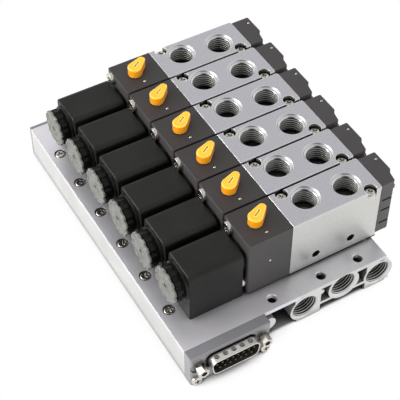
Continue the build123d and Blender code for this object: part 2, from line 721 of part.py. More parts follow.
def junction_box():
    """The extruded box with the tapped holes of its cover screws."""
    box = along_row(box_profile(), -RAIL_HALF, RAIL_HALF)
    rim = DECK_Z - COVER_T
    for number in range(VALVES):
        box -= rod_z(M3_R + THREAD_GAP, SHELF_Z, rim, COVER_SCREW_X, valve_y(number))
    return box


def box_cover():
    """The deck plate over the junction box, with coil slots and screw recesses."""
    low = DECK_Z - COVER_T
    cover = block(BOX_X0, SEAM_X, -RAIL_HALF, RAIL_HALF, low, DECK_Z)
    slot_x = PLUG_FOOT_L / 2 + SEAT_GAP
    slot_y = PLUG_FOOT_W / 2 + SEAT_GAP
    for number in range(VALVES):
        y = valve_y(number)
        cover -= block(PLUG_FOOT_X - slot_x, PLUG_FOOT_X + slot_x, y - slot_y, y + slot_y, low, DECK_Z)
        cover -= rod_z(M3_HOLE_R, low, DECK_Z, COVER_SCREW_X, y)
        cover -= rod_z(COVER_RECESS_R, DECK_Z - COVER_RECESS, DECK_Z, COVER_SCREW_X, y)
    for side in (-1, 1):
        cover -= mount_hole(MOUNT_X[0], side * MOUNT_Y, low)
    return cover


def circuit_board():
    """The board in the box's grooves, with one socket for each coil foot."""
    left = BOX_X0 + BOX_WALL + SOCKET_GAP
    right = BOX_X1 - BOX_WALL - SOCKET_GAP
    top = BOARD_Z + BOARD_T
    near = INSERT_REAR + PIN_REAR + SEAT_GAP - RAIL_HALF
    board = block(left, right, near, RAIL_HALF - SEAT_GAP, BOARD_Z, top)
    rim = DECK_Z - COVER_T - SEAT_GAP
    pocket_x = PLUG_FOOT_L / 2 + SOCKET_GAP
    pocket_y = PLUG_FOOT_W / 2 + SOCKET_GAP
    foot_low = DECK_Z - PLUG_FOOT_DEPTH - SEAT_GAP
    for number in range(VALVES):
        y = valve_y(number)
        board += block(PLUG_FOOT_X - pocket_x - SOCKET_WALL, PLUG_FOOT_X + pocket_x + SOCKET_WALL,
                       y - pocket_y - SOCKET_WALL, y + pocket_y + SOCKET_WALL, top, rim)
        board -= block(PLUG_FOOT_X - pocket_x, PLUG_FOOT_X + pocket_x,
                       y - pocket_y, y + pocket_y, foot_low, rim)
    return board


def end_screw_holes(y0, y1, radius):
    """Holes on the two lower corner axes, between two places along the row."""
    return [rod_y(radius, y0, y1, x, z) for x, z in corner_bosses()]


def end_plate():
    """The plain plate that closes the far end of the junction box."""
    far = RAIL_HALF + PLATE_T
    plate = block(BOX_X0, BOX_X1, RAIL_HALF, far, 0, DECK_Z)
    plate = chamfer(plate.faces().sort_by(Axis.Y)[-1].edges(), BLOCK_EDGE / 2)
    for hole in end_screw_holes(RAIL_HALF, far, CORNER_HOLE_R + THREAD_GAP):
        plate -= hole
    return plate


# ---- connector ----
def d_profile(margin):
    """The D-shaped section of the connector, grown by a margin, wide side up."""
    height = SHELL_H / 2
    lean = height * math.tan(math.radians(SHELL_SLOPE))
    half = SHELL_W / 2
    outline = make_face(Polyline(
        (-half, height), (half, height), (half - 2 * lean, -height), (2 * lean - half, -height),
        (-half, height)))
    outline = fillet(outline.vertices(), SHELL_CORNER)
    outline = offset(outline, margin) if margin else outline
    return Pos(CONN_X, CONN_Z) * outline


def block_front():
    """The y of the connector block's front face."""
    return -RAIL_HALF - BLOCK_T


def jack_places():
    """The x of the two jackscrews."""
    return (CONN_X - JACK_SPACING / 2, CONN_X + JACK_SPACING / 2)


def connector_block():
    """The end block with the connector's cut-out, its pocket and the jackscrew bores."""
    front = block_front()
    body = block(BOX_X0, BOX_X1, front, -RAIL_HALF, 0, DECK_Z)
    body = chamfer(body.faces().sort_by(Axis.Y)[0].edges(), BLOCK_EDGE)
    pocket_x = FLANGE_W / 2 + FLANGE_GAP
    pocket_z = FLANGE_H / 2 + FLANGE_GAP
    body -= block(CONN_X - pocket_x, CONN_X + pocket_x, front + FRONT_WALL, -RAIL_HALF,
                  CONN_Z - pocket_z, CONN_Z + pocket_z)
    body -= along_row(d_profile(SHELL_T + CUTOUT_GAP), front, front + FRONT_WALL)
    for x in jack_places():
        body -= rod_y(JACK_BORE_R, front, front + JACK_BORE, x, CONN_Z)
        body -= rod_y(JACK_PASS_R, front, front + FRONT_WALL, x, CONN_Z)
    for hole in end_screw_holes(front, -RAIL_HALF, CORNER_HOLE_R + THREAD_GAP):
        body -= hole
    return body


def connector_shell():
    """The plated flange and D-shaped shell with its grounding dimples."""
    flange_y = block_front() + FRONT_WALL
    shell = block(CONN_X - FLANGE_W / 2, CONN_X + FLANGE_W / 2, flange_y, flange_y + FLANGE_T,
                  CONN_Z - FLANGE_H / 2, CONN_Z + FLANGE_H / 2)
    shell = fillet(shell.edges().filter_by(Axis.Y), FLANGE_CORNER)
    tip = flange_y - SHELL_L
    shell += along_row(d_profile(SHELL_T), tip, flange_y)
    shell -= along_row(d_profile(0), tip, flange_y + FLANGE_T)
    dimple_z = CONN_Z + SHELL_H / 2 + SHELL_T + DIMPLE_R - DIMPLE_SUNK
    for number in range(DIMPLE_COUNT):
        x = CONN_X + (number - (DIMPLE_COUNT - 1) / 2) * DIMPLE_PITCH
        place = Pos(x, tip + DIMPLE_FROM_TIP, dimple_z)
        cup = place * Sphere(DIMPLE_R + SHELL_T)
        shell += cup & along_row(d_profile(SHELL_T / 2), tip, flange_y)
        shell -= place * Sphere(DIMPLE_R)
    for x in jack_places():
        shell -= rod_y(JACK_PASS_R, flange_y, flange_y + FLANGE_T, x, CONN_Z)
    return shell


def pin_places():
    """The (x, z) of every contact: a long row above a short one."""
    places = []
    for row, count in ((0.5, PIN_COUNT), (-0.5, PIN_COUNT - 1)):
        for number in range(count):
            x = CONN_X + (number - (count - 1) / 2) * PIN_PITCH
            places.append((x, CONN_Z + row * PIN_ROW_PITCH))
    return places


def connector_insert():
    """The black insulator that fills the shell and holds the contacts."""
    flange_y = block_front() + FRONT_WALL
    face = flange_y - INSERT_FACE
    insert = along_row(d_profile(0), face, -RAIL_HALF + INSERT_REAR)
    for x, z in pin_places():
        insert -= rod_y(PIN_R, face, -RAIL_HALF + INSERT_REAR, x, z)
    return insert


def contact_pins():
    """The gold-plated contacts."""
    face = block_front() + FRONT_WALL - INSERT_FACE
    pins = []
    for x, z in pin_places():
        pin = rod_y(PIN_R, face - PIN_OUT, -RAIL_HALF + INSERT_REAR + PIN_REAR, x, z)
        pins.append(fillet(pin.edges().sort_by(Axis.Y)[0], PIN_NOSE_R))
    return pins


def jackscrews():
    """The two hex jackscrews with the nuts behind the flange."""
    seat = block_front() + JACK_BORE
    tip = block_front() - JACK_OUT
    clamp = block_front() + FRONT_WALL + FLANGE_T
    hexagon = RegularPolygon(JACK_AF / 2, 6, major_radius=False, rotation=30)
    pieces = []
    for x in jack_places():
        head = along_row(Pos(x, CONN_Z) * hexagon, tip, seat)
        head -= rod_y(JACK_THREAD_R, tip, tip + JACK_THREAD, x, CONN_Z)
        head += rod_y(JACK_SHANK_R, seat, clamp + JACK_NUT_T, x, CONN_Z)
        nut = along_row(Pos(x, CONN_Z) * hexagon, clamp, clamp + JACK_NUT_T)
        pieces.append(head)
        pieces.append(nut - rod_y(JACK_SHANK_R, clamp, clamp + JACK_NUT_T, x, CONN_Z))
    return pieces


def panel_screws():
    """The cover screws and the screws of the end block and end plate."""
    seat = DECK_Z - COVER_RECESS
    cover = screw(COVER_HEAD_R, COVER_HEAD_H, M3_R, seat - SHELF_Z - SEAT_GAP)
    screws = each_valve(Pos(COVER_SCREW_X, 0, seat) * cover)
    near = screw(BLOCK_SCREW_HEAD_R, BLOCK_SCREW_HEAD_H, CORNER_HOLE_R, BLOCK_SCREW_L)
    far = screw(BLOCK_SCREW_HEAD_R, BLOCK_SCREW_HEAD_H, CORNER_HOLE_R, BLOCK_SCREW_L - BLOCK_T + PLATE_T)
    for x, z in corner_bosses():
        screws.append(Pos(x, block_front(), z) * Rot(90, 0, 0) * near)
        screws.append(Pos(x, RAIL_HALF + PLATE_T, z) * Rot(-90, 0, 0) * far)
    return screws


# ---- every piece, by node name ----
def build():
    """All nodes of the island."""
    nodes = {}
    parts_of_a_valve = {
        "valve_body": valve_body(),
        "pilot_block": pilot_block(),
        "coil": coil(),
        "end_cap": end_cap(),
        "override_knob": knob(),
        "spool": spool(),
        "plunger": plunger(),
    }
    for name, shape in parts_of_a_valve.items():
        for number, copy in enumerate(each_valve(shape), start=1):
            nodes[f"{name}_{number}"] = copy
    nodes["manifold_rail"] = manifold_rail()
    nodes["junction_box"] = junction_box()
    nodes["box_cover"] = box_cover()
    nodes["circuit_board"] = circuit_board()
    nodes["connector_block"] = connector_block()
    nodes["end_plate"] = end_plate()
    nodes["d_sub_shell"] = connector_shell()
    nodes["d_sub_insert"] = connector_insert()
    nodes["contact_pins"] = group(contact_pins())
    nodes["jackscrews"] = group(jackscrews())
    nodes["panel_screws"] = group(panel_screws())
    seals = [gasket()] + [seal_ring(x) for x in SEAL_X]
    grouped = {
        "valve_seals": seals,
        "coil_nuts": [coil_nut()],
        "armature_tubes": [armature_tube()],
        "body_screws": body_screws(),
        "end_screws": end_screws(),
        "passage_plugs": passage_plugs(),
        "springs": springs(),
    }
    for name, shapes in grouped.items():
        nodes[name] = group([copy for shape in shapes for copy in each_valve(shape)])
    return nodes


os.makedirs("parts", exist_ok=True)
for node, shape in build().items():
    export_step(shape, f"parts/{node}.step")
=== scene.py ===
"""Dresses a six-valve pneumatic island: finishes, port threads, coil nuts, springs and studio."""
import json
import math

import bmesh
import bpy
import numpy as np
from bpy.props import FloatProperty, FloatVectorProperty, IntProperty, PointerProperty
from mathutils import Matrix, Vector


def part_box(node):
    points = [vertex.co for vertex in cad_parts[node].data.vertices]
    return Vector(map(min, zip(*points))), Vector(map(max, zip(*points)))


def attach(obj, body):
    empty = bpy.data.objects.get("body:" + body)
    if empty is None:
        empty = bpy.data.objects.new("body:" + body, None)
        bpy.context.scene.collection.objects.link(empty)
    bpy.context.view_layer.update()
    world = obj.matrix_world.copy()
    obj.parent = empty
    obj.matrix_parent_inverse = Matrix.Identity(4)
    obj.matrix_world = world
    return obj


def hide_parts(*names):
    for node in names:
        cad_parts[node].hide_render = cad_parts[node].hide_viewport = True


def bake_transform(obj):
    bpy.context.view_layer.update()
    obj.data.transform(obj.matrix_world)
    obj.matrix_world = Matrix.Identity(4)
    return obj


bl_info = {
    "name": "Pneumatic valve island",
    "version": (1, 0, 0),
    "blender": (4, 5, 0),
    "location": "View3D > Sidebar > Island",
    "description": "Builds the finishes and fine pieces of a valve island around its fixed frame",
    "category": "Object",
}

MM = 0.001
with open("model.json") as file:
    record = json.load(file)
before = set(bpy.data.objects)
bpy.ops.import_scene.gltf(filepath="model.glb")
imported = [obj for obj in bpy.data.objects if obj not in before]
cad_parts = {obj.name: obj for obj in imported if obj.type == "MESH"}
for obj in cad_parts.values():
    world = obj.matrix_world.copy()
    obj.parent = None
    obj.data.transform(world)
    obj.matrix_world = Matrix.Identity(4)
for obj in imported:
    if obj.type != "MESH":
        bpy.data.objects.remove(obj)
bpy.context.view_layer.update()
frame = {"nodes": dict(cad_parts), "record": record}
NODES = frame["nodes"]
MOUNTS = {mount["name"]: mount for mount in frame["record"]["mounts"]}
VALVES = sum(name.startswith("valve_body_") for name in NODES)
ROOT = "island"

# Port threads: the chamfer above the full thread, the clearance between a sleeve and its
# bore, and the fineness of a sleeve's mesh.
PORT_CHAMFER = 0.67 * MM
SKIN = 0.02 * MM
PORT_COLUMNS = 72
ROWS_A_TURN = 11
# The vertex attribute that is 0 in a thread's root and 1 on its crest.
CREST = "thread_crest"

# Coil nuts: how far the grip stands back from the zinc face, the radii of its neck and of
# its hole for the stud, and the points round a nut.
GRIP_STEP = 0.3 * MM
NUT_NECK = 8.0 * MM
STUD_HOLE = 3.05 * MM
NUT_COLUMNS = 288

# The colour inputs and the colour output of a Mix node, by their place.
BASE, OVER, MIXED = 6, 7, 2


def linear(hex_colour):
    """An sRGB hex value as linear red, green and blue."""
    channels = [int(hex_colour[i:i + 2], 16) / 255 for i in (1, 3, 5)]
    return tuple(c / 12.92 if c <= 0.04045 else ((c + 0.055) / 1.055) ** 2.4 for c in channels)


def colour(name, description, hex_colour):
    """A colour property with its default given as sRGB hex."""
    return FloatVectorProperty(name=name, description=description, subtype="COLOR",
                               size=3, min=0, max=1, default=linear(hex_colour))


def length(name, description, default):
    """A length property in metres."""
    return FloatProperty(name=name, description=description, unit="LENGTH", default=default)


class IslandColours(bpy.types.PropertyGroup):
    """Colours of the island's finishes."""
    body: colour("Valve bodies", "Bead-blasted aluminium of the ported bodies", "#cac9cf")
    # Painted light: body walls paler than the tops for the light falling on them.
    body_wall_painted_light: colour("Valve body sides", "The same blasting on the bodies' walls", "#d3d3d0")
    rail: colour("Rail", "Natural anodised aluminium of the rail", "#e0e0e4")
    # Painted shade: rail walls darker than the deck for the light falling on them.
    rail_wall_painted_shade: colour("Rail sides", "Walls and sawn ends of the rail and the box", "#d2d2d0")
    cover: colour("Cover", "Anodised plate over the junction box", "#dddbe0")
    block: colour("End block", "Gunmetal paint of the connector's end block", "#7b7a7e")
    # Painted light: block walls paler than its top for the light falling on them.
    block_wall_painted_light: colour("End block walls", "The same paint on the block's walls", "#8f8e90")
    pilot: colour("Pilot blocks", "Matt moulded nylon of the pilot blocks", "#282525")
    # Painted light: pilot walls paler than the tops for the light falling on them.
    pilot_wall_painted_light: colour("Pilot block sides", "The same nylon on the walls", "#363434")
    coil: colour("Coils", "Satin moulded epoxy of the coils", "#141412")
    cap: colour("End caps", "Matt moulded nylon of the end caps", "#302e2e")
    # Painted light: cap walls paler than the tops for the light falling on them.
    cap_wall_painted_light: colour("End cap sides", "The same nylon on the caps' walls", "#454342")
    knob: colour("Override knobs", "Gloss moulded acetal of the override levers", "#e4a41e")
    # Painted shade: knob walls a deeper orange than the tops for the light falling on them.
    knob_wall_painted_shade: colour("Knob walls", "Deeper tint of the acetal on the levers' walls", "#dc8a0a")
    # Painted highlight: a pale rim along the levers' edges.
    knob_rim_painted_highlight: colour("Knob rims", "Paler tint where light passes the levers' edges", "#ffe283")
    nut: colour("Coil nuts", "Satin moulded nylon of the nuts' grips", "#0a0a09")
    nut_face: colour("Nut faces", "Passivated zinc of the nuts' faces", "#6c6c68")
    nickel: colour("Screws", "Nickel plate of the screws", "#d8d4cc")
    gold: colour("Contacts", "Gold flash of the contact pins", "#6b6150")
    floor: colour("Floor", "Pale paper under the part", "#f4f4f3")


class IslandSizes(bpy.types.PropertyGroup):
    """Sizes of the fine pieces that the frame leaves out."""
    pipe_pitch: length("Pipe thread pitch", "Pitch of the G1/4 ports, 19 threads an inch",
                       1.337 * MM)
    pipe_depth: length("Pipe thread depth", "Depth of the G1/4 thread form", 0.856 * MM)
    nut_lobes: IntProperty(name="Nut lobes", description="Notches round a coil nut", default=12)
    nut_notch: length("Nut notch depth", "Depth of a notch of a coil nut", 1.0 * MM)
    nut_notch_r: length("Nut notch radius", "Radius of the round notches", 1.5 * MM)
    nut_face: length("Nut face thickness", "Thickness of a nut's zinc face", 1.3 * MM)


# ---- surfaces ----
def grid_faces(rows, columns, close_rows=False):
    """Quads of a grid whose columns wrap round, and whose rows wrap too if asked."""
    row = np.arange(rows if close_rows else rows - 1)
    column = np.arange(columns)
    r, c = np.meshgrid(row, column, indexing="ij")
    r2, c2 = (r + 1) % rows, (c + 1) % columns
    quads = (r * columns + c, r * columns + c2, r2 * columns + c2, r2 * columns + c)
    return np.stack(quads, -1).reshape(-1, 4)


def axes_for(axis):
    """Two unit vectors square to an axis."""
    axis = np.asarray(axis, float)
    side = np.array((0.0, 0.0, 1.0)) if abs(axis[2]) < 0.9 else np.array((1.0, 0.0, 0.0))
    first = np.cross(side, axis)
    first /= np.linalg.norm(first)
    return first, np.cross(axis, first)


def turned(centre, axis, along, radius, columns, close_rows=False):
    """A surface round an axis: each point is the centre, plus the axis times along,
    plus the radius times (cos t, sin t) in the plane square to the axis.
    along and radius are arrays of rows, or of rows by columns."""
    along = np.asarray(along, float)
    radius = np.asarray(radius, float)
    rows = along.shape[0]
    angle = np.linspace(0, 2 * np.pi, columns, endpoint=False)
    along = np.broadcast_to(along.reshape(rows, -1), (rows, columns))
    radius = np.broadcast_to(radius.reshape(rows, -1), (rows, columns))
    first, second = axes_for(axis)
    ring = np.cos(angle)[:, None] * first + np.sin(angle)[:, None] * second
    points = np.asarray(centre, float) + along[..., None] * np.asarray(axis, float)
    points = points + radius[..., None] * ring
    return points.reshape(-1, 3), grid_faces(rows, columns, close_rows)


def joined(surfaces):
    """Several (points, faces) surfaces as one."""
    points, faces, start = [], [], 0
    for one_points, one_faces in surfaces:
        points.append(one_points)
        faces.append(one_faces + start)
        start += len(one_points)
    return np.concatenate(points), np.concatenate(faces)


def piece(name, surface, material, sharp, body=ROOT):
    """A mesh object from (points, faces), with doubles merged and faces turned outwards.
    Edges bent by more than the sharp angle in degrees stay crisp. A body of None leaves it
    free."""
    points, faces = surface
    mesh = bpy.data.meshes.new(name)
    mesh.from_pydata(points.tolist(), [], faces.tolist())
    work = bmesh.new()
    work.from_mesh(mesh)
    bmesh.ops.remove_doubles(work, verts=work.verts, dist=1e-7)
    bmesh.ops.dissolve_degenerate(work, edges=work.edges, dist=1e-8)
    bmesh.ops.recalc_face_normals(work, faces=work.faces)
    work.to_mesh(mesh)
    work.free()
    mesh.polygons.foreach_set("use_smooth", [True] * len(mesh.polygons))
    mesh.set_sharp_from_angle(angle=math.radians(sharp))
    mesh.materials.append(material)
    thing = bpy.data.objects.new(name, mesh)
    bpy.context.scene.collection.objects.link(thing)
    if body:
        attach(thing, body)
    return thing


# ---- materials ----
def add_node(tree, kind, inputs=None, **settings):
    """A node with its settings, and its inputs as values or as sockets to link from."""
    node = tree.nodes.new(kind)
    for key, value in settings.items():
        setattr(node, key, value)
    for key, value in (inputs or {}).items():
        if isinstance(value, bpy.types.NodeSocket):
            tree.links.new(value, node.inputs[key])
        else:
            node.inputs[key].default_value = value
    return node


def new_material(name):
    """An empty material and its tree."""
    made = bpy.data.materials.new(name)
    made.use_nodes = True
    made.node_tree.nodes.clear()
    return made, made.node_tree


def mottled(tree, place, base, spread, scale):
    """The base, darker and lighter by the spread in soft patches of the scale."""
    noise = add_node(tree, "ShaderNodeTexNoise", {"Vector": place, "Scale": scale, "Detail": 3.0})
    level = add_node(tree, "ShaderNodeMapRange", {
        "Value": noise.outputs["Fac"], "From Min": 0.3, "From Max": 0.7,
        "To Min": 1 - spread, "To Max": 1 + spread})
    mixed = add_node(tree, "ShaderNodeMix", {
        "Factor": 1.0, BASE: base, OVER: level.outputs["Result"]},
        data_type="RGBA", blend_type="MULTIPLY")
    return mixed.outputs[MIXED]


def painted_shade_by_openness(tree, reach, low, open_from, open_to):
    """Painted shade by openness: a tone from low in deep holes and gaps to 1 outside."""
    share = add_node(tree, "ShaderNodeAmbientOcclusion", {"Distance": reach * MM}, samples=6)
    level = add_node(tree, "ShaderNodeMapRange", {
        "Value": share.outputs["AO"], "From Min": open_from, "From Max": open_to,
        "To Min": low, "To Max": 1.0})
    return level.outputs["Result"]


def painted_edge_highlight(tree, base, rim_colour, width):
    """The base, turning to the rim's colour where a rounded normal leaves the flat one: a painted
    highlight along the edges.
    """
    flat = add_node(tree, "ShaderNodeNewGeometry").outputs["Normal"]
    rounded = add_node(tree, "ShaderNodeBevel", {"Radius": width * MM}, samples=6)
    along = add_node(tree, "ShaderNodeVectorMath", {0: flat, 1: rounded.outputs["Normal"]},
                     operation="DOT_PRODUCT").outputs["Value"]
    rim = add_node(tree, "ShaderNodeMapRange", {
        "Value": along, "From Min": 0.995, "From Max": 0.95})
    mixed = add_node(tree, "ShaderNodeMix", {
        "Factor": rim.outputs["Result"], BASE: base, OVER: [*rim_colour, 1]}, data_type="RGBA")
    return mixed.outputs[MIXED]


def painted_light_by_slope(tree, top_colour, wall_colour):
    """Painted light and shade: one colour on faces that look up, the other on walls."""
    facing = add_node(tree, "ShaderNodeNewGeometry").outputs["Normal"]
    up = add_node(tree, "ShaderNodeSeparateXYZ", {"Vector": facing}).outputs["Z"]
    ramp = add_node(tree, "ShaderNodeMapRange", {
        "Value": up, "From Min": 0.1, "From Max": 0.9})
    mixed = add_node(tree, "ShaderNodeMix", {
        "Factor": ramp.outputs["Result"], BASE: [*wall_colour, 1], OVER: [*top_colour, 1]},
        data_type="RGBA")
    return mixed.outputs[MIXED]


def finish_material(name, colour_value, roughness, *, metallic=0.0, grain=0.0, grain_size=0.4,
                    stretch=(1, 1, 1), spread=0.06, patch=14.0, edge=0.25, uneven=0.06,
                    coat=0.0, wall=None, gloss=0.5, reach=7.0, low=0.35, open_from=0.12,
                    open_to=0.62, rim=None, rim_width=0.8, groove=1.0):
    """A surface with mottled colour, a fine grain, worn-soft edges and painted shade in its
    holes and gaps. Sizes are in millimetres.

    grain is the grain's depth and grain_size its size. A blasted or moulded grain of about
    0.05 mm is too fine to show, so it is drawn at 0.2 mm or more. stretch squeezes it along
    an axis, so that drawn metal gets its long lines. spread and patch are the mottling's
    strength and size, and uneven is how far the roughness strays. edge is the radius of the
    worn edges, and rim and rim_width paint a highlight on them. wall is a second colour for
    the walls: painted light and shade, lighter or darker than the tops for how light falls.
    reach is how far off a neighbour darkens a spot with painted shade, low is the tone of
    the deepest ones, and the open shares say where the painted shade ends. groove is the
    tone of the painted shade in a thread's roots."""
    made, tree = new_material(name)
    place = add_node(tree, "ShaderNodeTexCoord").outputs["Object"]
    # Painted light and shade: walls and tops in two colours.
    base = painted_light_by_slope(tree, colour_value, wall) if wall else [*colour_value, 1]
    base = mottled(tree, place, base, spread, 1 / (patch * MM))
    # Painted highlight along the edges.
    if rim:
        base = painted_edge_highlight(tree, base, rim, rim_width)
    # Painted shade in a thread's roots.
    if groove < 1:
        crest = add_node(tree, "ShaderNodeAttribute", attribute_name=CREST).outputs["Fac"]
        tone = add_node(tree, "ShaderNodeMapRange", {
            "Value": crest, "From Min": 0.25, "From Max": 0.95,
            "To Min": groove, "To Max": 1.0})
        base = add_node(tree, "ShaderNodeMix", {
            "Factor": 1.0, BASE: base, OVER: tone.outputs["Result"]},
            data_type="RGBA", blend_type="MULTIPLY").outputs[MIXED]
    # Painted shade in holes and gaps, darker the less open a spot is.
    if low < 1:
        base = add_node(tree, "ShaderNodeMix", {
            "Factor": 1.0, BASE: base, OVER: painted_shade_by_openness(tree, reach, low, open_from, open_to)},
            data_type="RGBA", blend_type="MULTIPLY").outputs[MIXED]
    squeezed = add_node(tree, "ShaderNodeMapping", {"Vector": place, "Scale": stretch})
    fine = add_node(tree, "ShaderNodeTexNoise", {
        "Vector": squeezed.outputs["Vector"], "Scale": 1 / (grain_size * MM), "Detail": 2.0})
    rough = add_node(tree, "ShaderNodeMapRange", {
        "Value": fine.outputs["Fac"], "To Min": roughness - uneven, "To Max": roughness + uneven})
    soft = add_node(tree, "ShaderNodeBevel", {"Radius": edge * MM}, samples=4)
    bump = add_node(tree, "ShaderNodeBump", {
        "Height": fine.outputs["Fac"], "Strength": grain, "Distance": 0.05 * MM,
        "Normal": soft.outputs["Normal"]})
    shader = add_node(tree, "ShaderNodeBsdfPrincipled", {
        "Base Color": base, "Metallic": metallic, "Roughness": rough.outputs["Result"],
        "Normal": bump.outputs["Normal"], "Coat Weight": coat, "Coat Roughness": 0.12,
        "Specular IOR Level": gloss})
    add_node(tree, "ShaderNodeOutputMaterial", {"Surface": shader.outputs["BSDF"]})
    return made


def materials(colours):
    """Every finish of the island, by its short name."""
    # Each finish whose low is below 1 gets painted shade in its holes and gaps.
    return {
        # Cast aluminium, bead blasted and clear anodised: an even fine sparkle, no direction,
        # with walls painted paler as lit and a painted highlight along its rounded edges.
        "body": finish_material(
            "blasted_aluminium", colours.body, 0.38, metallic=1.0, grain=0.4, grain_size=0.35,
            spread=0.07, patch=0.9, edge=0.4, wall=colours.body_wall_painted_light, rim=(1, 1, 1),
            rim_width=0.5, low=0.1, open_from=0.15, open_to=0.8),
        # Extruded aluminium, natural anodised: faint drawing lines along the row, walls painted
        # darker as shade.
        "rail": finish_material(
            "drawn_aluminium", colours.rail, 0.38, metallic=0.85, grain=0.3, grain_size=0.5,
            stretch=(1, 0.03, 1), edge=0.15, wall=colours.rail_wall_painted_shade, low=0.1,
            open_from=0.15, open_to=0.8),
        # Rolled aluminium plate, natural anodised: as the rail, with a duller sheen.
        "cover": finish_material(
            "anodised_plate", colours.cover, 0.42, metallic=0.8, grain=0.3, grain_size=0.5,
            stretch=(1, 0.03, 1), spread=0.05, edge=0.2, low=0.1, open_from=0.15, open_to=0.8),
        # Gunmetal stove paint on the machined end block: smooth, a soft sheen, walls painted paler
        # as lit.
        "block": finish_material(
            "stoved_paint", colours.block, 0.42, metallic=0.5, grain=0.12, grain_size=0.6,
            edge=0.3, wall=colours.block_wall_painted_light, reach=3.0, low=0.2),
        # Glass-filled nylon, spark-eroded mould: matt and slightly grey, walls painted paler as
        # lit.
        "pilot": finish_material(
            "matt_nylon", colours.pilot, 0.55, grain=0.5, grain_size=0.3, edge=0.25,
            wall=colours.pilot_wall_painted_light, low=0.2),
        # Epoxy-moulded coil: smooth black with a dull sheen.
        "coil": finish_material(
            "coil_epoxy", colours.coil, 0.42, grain=0.25, grain_size=0.6, spread=0.2,
            gloss=0.26, low=0.3),
        # The pilot's nylon in the caps' mould: as matt, with walls painted paler as lit.
        "cap": finish_material(
            "cap_nylon", colours.cap, 0.55, grain=0.5, grain_size=0.3, edge=0.3,
            wall=colours.cap_wall_painted_light, low=0.2),
        # Acetal straight from a polished mould: bright and glossy, walls painted deeper as shade,
        # and a painted highlight along its edges.
        "knob": finish_material(
            "knob_acetal", colours.knob, 0.3, grain=0.04, grain_size=0.6, edge=0.4,
            uneven=0.03, coat=0.3, wall=colours.knob_wall_painted_shade, rim=colours.knob_rim_painted_highlight, reach=2.0,
            low=0.2, open_from=0.4, open_to=0.85),
        # Black nylon, smooth mould: a dull sheen, with painted shade near black in the notches.
        "nut": finish_material(
            "nut_nylon", colours.nut, 0.45, grain=0.2, edge=0.2, gloss=0.2, reach=1.5, low=0.2),
        # Zinc die casting, passivated: dull grey, cloudy.
        "nut_face": finish_material(
            "passivated_zinc", colours.nut_face, 0.42, metallic=0.4, grain=0.3,
            grain_size=0.5, stretch=(1, 1, 0.25), spread=0.28, patch=2.2, reach=1.2, low=0.3),
        # Nitrile rubber, moulded: dead black.
        "rubber": finish_material(
            "nitrile_rubber", linear("#070707"), 0.8, grain=0.3, gloss=0.1),
        # Nickel over turned steel: bright, small uneven reflections, painted shade in the drive.
        "nickel": finish_material(
            "nickel_plate", colours.nickel, 0.24, metallic=1.0, grain=0.1, grain_size=0.5,
            edge=0.15, reach=0.8, low=0.12),
        # Tin over drawn steel: a bright shell with its pressed dimples darkened by painted shade.
        "tin": finish_material(
            "tin_plate", linear("#f2efea"), 0.3, metallic=1.0, grain=0.15, grain_size=0.5,
            edge=0.15, reach=2.2, low=0.03, open_from=0.6, open_to=0.97),
        # Glass-filled polyester of the insulator: black, dull.
        "black": finish_material(
            "insulator_resin", linear("#060605"), 0.5, grain=0.1, gloss=0.15, low=0.3),
        # Gold flash over brass pins: small warm glints in the dark.
        "gold": finish_material(
            "gold_flash", colours.gold, 0.3, metallic=1.0, edge=0.08, low=1),
        # Turned and drawn steel, bare: grey and evenly bright.
        "steel": finish_material(
            "turned_steel", linear("#a8a7a4"), 0.35, metallic=1.0, grain=0.2, grain_size=0.3),
        # Fine-turned aluminium spool: smooth and clean.
        "bore": finish_material(
            "cut_aluminium", linear("#b9b8b6"), 0.28, metallic=1.0, grain=0.1, grain_size=0.2,
            edge=0.05),
        # The turned chamfers of the ports: bright rings.
        "mouth": finish_material(
            "turned_chamfer", linear("#dededf"), 0.22, metallic=1.0, grain=0.1,
            grain_size=0.2, edge=0.05, low=1),
        # Fresh-cut thread: painted shade in the roots and further down the bore, so the crests
        # read bright at the mouth.
        "thread": finish_material(
            "cut_thread", linear("#b0afab"), 0.34, metallic=0.6, grain=0.1, grain_size=0.2,
            edge=0.05, reach=9.0, low=0.1, open_from=0.1, open_to=0.75, groove=0.02),
        # Epoxy glass laminate under green lacquer: a smooth sheen.
        "board": finish_material(
            "board_laminate", linear("#1c5a34"), 0.35, grain=0.1, grain_size=0.6),
    }


FINISH_OF = {
    "valve_body": "body", "pilot_block": "pilot", "coil": "coil", "end_cap": "cap",
    "override_knob": "knob", "spool": "bore", "plunger": "steel", "manifold_rail": "rail",
    "junction_box": "rail", "box_cover": "cover", "circuit_board": "board",
    "connector_block": "block", "end_plate": "block", "d_sub_shell": "tin",
    "d_sub_insert": "black", "contact_pins": "gold", "jackscrews": "nickel",
    "panel_screws": "nickel", "valve_seals": "rubber", "coil_nuts": "nut",
    "armature_tubes": "steel", "body_screws": "nickel", "end_screws": "nickel",
    "passage_plugs": "nickel", "springs": "steel",
}
FINISHES = {}


class ISLAND_OT_finishes(bpy.types.Operator):
    """Give every solid of the frame its finish."""
    bl_idname = "island.finishes"
    bl_label = "Finishes"

    def execute(self, context):
        FINISHES.update(materials(context.scene.island_colours))
        for name, thing in NODES.items():
            kind = name.rstrip("0123456789").rstrip("_")
            thing.data.materials.clear()
            thing.data.materials.append(FINISHES[FINISH_OF[kind]])
        return {"FINISHED"}


def port_rim(mount):
    """The centre of a port where its full bore starts, a chamfer below the face it opens in."""
    axis = np.array(mount["axis"], float)
    owner = "valve_body_1" if mount["name"].startswith("work") else "manifold_rail"
    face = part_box(owner)[1 if axis.sum() > 0 else 0]
    across = int(np.argmax(np.abs(axis)))
    rim = np.array(mount["pos_m"], float)
    rim[across] = face[across] - axis[across] * PORT_CHAMFER
    return rim


